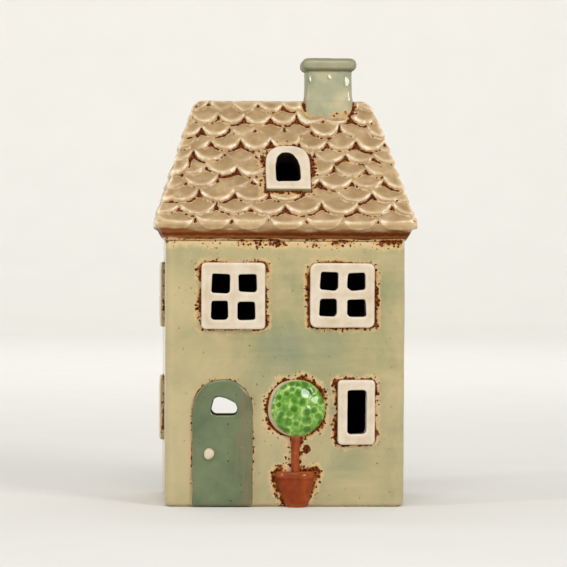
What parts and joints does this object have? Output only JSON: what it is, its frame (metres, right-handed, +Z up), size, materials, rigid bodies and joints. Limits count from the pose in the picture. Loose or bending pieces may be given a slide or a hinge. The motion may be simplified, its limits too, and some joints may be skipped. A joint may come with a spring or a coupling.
{
  "type": "tealight house",
  "caption": "Slab-built glazed stoneware house with a hipped scallop-tiled roof, chimney and cut-out windows, lit by a tealight put in through an arched opening in the back.",
  "frame": {"origin": "on the floor under the middle of the house", "axes": "+Z up, the front with the door faces -Y, +X to the right as seen from the front"},
  "size_m": [0.1094, 0.0852, 0.1885],
  "materials": {
    "wall_glaze": "glossy mottled glaze",
    "roof_glaze": "satin glaze, iron in the grooves",
    "chimney_glaze": "glossy glaze",
    "frame_glaze": "glossy cream glaze",
    "door_glaze": "glossy glaze",
    "leaf_glaze": "glossy mottled glaze",
    "pot_glaze": "glossy glaze",
    "cup_metal": "drawn thin sheet",
    "wax": "cast wax",
    "wick_cotton": "braided cotton",
    "foot_metal": "stamped sheet"
  },
  "bodies": {
    "house": {"front_wall": "wall_glaze", "back_wall": "wall_glaze", "left_wall": "wall_glaze", "right_wall": "wall_glaze", "base_slab": "wall_glaze", "roof_front": "roof_glaze", "roof_back": "roof_glaze", "roof_left": "roof_glaze", "roof_right": "roof_glaze", "roof_cap": "roof_glaze", "chimney_stack": "chimney_glaze", "chimney_rim": "chimney_glaze", "upper_left_window_frame": "frame_glaze", "upper_right_window_frame": "frame_glaze", "lower_window_frame": "frame_glaze", "skylight_frame": "frame_glaze", "left_upper_window_frame": "frame_glaze", "left_lower_window_frame": "frame_glaze", "right_upper_window_frame": "frame_glaze", "right_lower_window_frame": "frame_glaze", "door_knob": "frame_glaze", "door_panel": "door_glaze", "topiary_crown": "leaf_glaze", "topiary_trunk": "pot_glaze", "plant_pot": "pot_glaze"},
    "tealight": {"tealight_cup": "cup_metal"},
    "candle": {"tealight_wax": "wax", "tealight_wick": "wick_cotton", "wick_foot": "foot_metal"}
  },
  "joints": [
    {"name": "tealight_slide", "type": "slide", "parent": "house", "child": "tealight", "axis": [0, 1, 0], "range_m": [0, 0.065]},
    {"name": "candle_lift", "type": "slide", "parent": "tealight", "child": "candle", "axis": [0, 0, 1], "range_m": [0, 0.022]}
  ]
}
